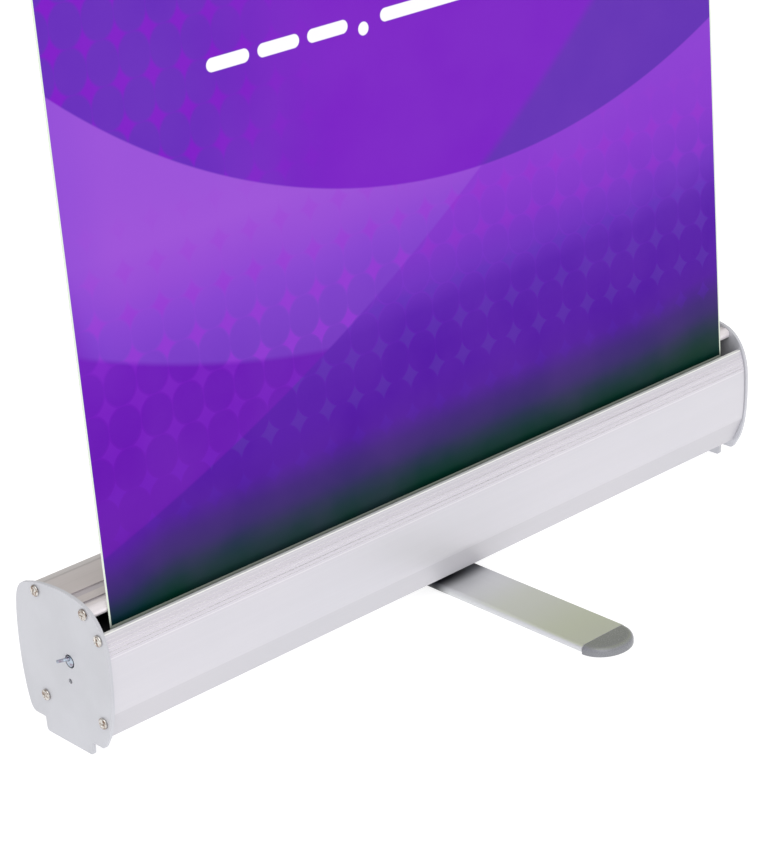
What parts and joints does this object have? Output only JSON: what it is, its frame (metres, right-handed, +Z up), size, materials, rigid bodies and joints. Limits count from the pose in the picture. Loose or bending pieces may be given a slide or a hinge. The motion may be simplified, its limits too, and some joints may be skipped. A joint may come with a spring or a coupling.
{
  "type": "roll-up banner stand",
  "caption": "Roll-up banner stand: spring-roller cassette with a swivel foot, three-piece pole, snap-open top rail and a printed film that winds into the base.",
  "frame": {"origin": "on the floor, under the middle of the cassette", "axes": "+Z up, -Y to the printed front, -X to the end plate with the lock pin"},
  "size_m": [0.6398, 0.3786, 1.7019],
  "materials": {
    "anodised_aluminium": "satin silver anodised extrusion with fine lines along its length",
    "painted_plate": "light cool grey powder coat, slightly matt",
    "steel_fixings": "bright nickel plated steel",
    "zinc_steel": "bluish bright zinc plate",
    "pole_aluminium": "satin drawn aluminium tube",
    "grey_plastic": "mid grey moulded plastic, soft sheen",
    "black_plastic": "black moulded plastic, fine grain",
    "rubber": "matt black rubber",
    "printed_film": "violet printed polyester film, satin laminate",
    "unprinted_film": "plain white film",
    "elastic_cord": "black braided elastic"
  },
  "bodies": {
    "base": {"casing_shell": "anodised_aluminium", "top_cover": "anodised_aluminium", "end_plate_left": "painted_plate", "end_plate_right": "painted_plate", "plate_screw_left_1": "steel_fixings", "plate_screw_left_2": "steel_fixings", "plate_screw_left_3": "steel_fixings", "plate_screw_left_4": "steel_fixings", "plate_screw_left_5": "steel_fixings", "plate_screw_right_1": "steel_fixings", "plate_screw_right_2": "steel_fixings", "plate_screw_right_3": "steel_fixings", "plate_screw_right_4": "steel_fixings", "plate_screw_right_5": "steel_fixings", "pole_socket": "black_plastic", "socket_screw_left": "steel_fixings", "socket_screw_right": "steel_fixings", "pole_grommet": "black_plastic", "spring_shaft": "zinc_steel", "shaft_washer": "steel_fixings", "torsion_spring": "steel_fixings", "idle_bush": "grey_plastic", "film_inner_run": "unprinted_film", "foot_mount_plate": "zinc_steel", "mount_rivet_left": "steel_fixings", "mount_rivet_right": "steel_fixings", "foot_pivot_bolt": "zinc_steel", "foot_pivot_nut": "zinc_steel", "foot_bush": "black_plastic"},
    "roller": {"roller_tube": "zinc_steel", "wound_film": "unprinted_film", "spring_end_plug": "black_plastic", "idle_end_plug": "black_plastic", "idle_pin": "steel_fixings", "spring_anchor_plug": "black_plastic"},
    "lock_pin": {"lock_pin": "steel_fixings"},
    "foot": {"foot_bar": "anodised_aluminium", "foot_cap_front": "grey_plastic", "foot_cap_rear": "grey_plastic", "foot_pad_front": "rubber", "foot_pad_rear": "rubber"},
    "pole_lower": {"pole_lower": "pole_aluminium", "pole_lower_collar": "black_plastic", "pole_foot_plug": "black_plastic", "shock_cord": "elastic_cord"},
    "pole_middle": {"pole_middle": "pole_aluminium", "pole_middle_collar": "black_plastic", "pole_middle_stop": "black_plastic"},
    "pole_upper": {"pole_upper": "pole_aluminium", "pole_upper_stop": "black_plastic", "pole_head": "black_plastic", "cord_anchor": "grey_plastic"},
    "top_rail": {"top_rail_body": "anodised_aluminium", "top_rail_cap_left": "grey_plastic", "top_rail_cap_right": "grey_plastic", "banner_film": "printed_film"},
    "rail_jaw": {"top_rail_jaw": "anodised_aluminium"}
  },
  "joints": [
    {"name": "pole_lower_pull", "type": "slide", "parent": "base", "child": "pole_lower", "axis": [0, 0, 1], "range_m": [0, 0.08]},
    {"name": "pole_middle_pull", "type": "slide", "parent": "pole_lower", "child": "pole_middle", "axis": [0, 0, 1], "range_m": [0, 0.04]},
    {"name": "pole_upper_pull", "type": "slide", "parent": "pole_middle", "child": "pole_upper", "axis": [0, 0, 1], "range_m": [0, 0.04]},
    {"name": "banner_raise", "type": "slide", "parent": "pole_upper", "child": "top_rail", "axis": [0, 0.032, 0.9995], "range_m": [-1.553, 0], "deforming": ["banner_film"]},
    {"name": "roller_spin", "type": "hinge", "parent": "base", "child": "roller", "pos_m": [0, -0.0081, 0.0643], "axis": [1, 0, 0], "range_deg": [0, 5400]},
    {"name": "rail_jaw_open", "type": "hinge", "parent": "top_rail", "child": "rail_jaw", "pos_m": [0, 0.01304, 1.69785], "axis": [-1, 0, 0], "range_deg": [0, 50]},
    {"name": "foot_swing", "type": "hinge", "parent": "base", "child": "foot", "pos_m": [0.018, 0, 0.004], "axis": [0, 0, 1], "range_deg": [0, 90]},
    {"name": "lock_pin_pull", "type": "slide", "parent": "base", "child": "lock_pin", "axis": [-0.9397, 0.342, 0], "range_m": [0, 0.02]}
  ],
  "couplings": [
    {"joint": "roller_spin", "follows": "banner_raise", "rad_per_m": -60.606}
  ]
}
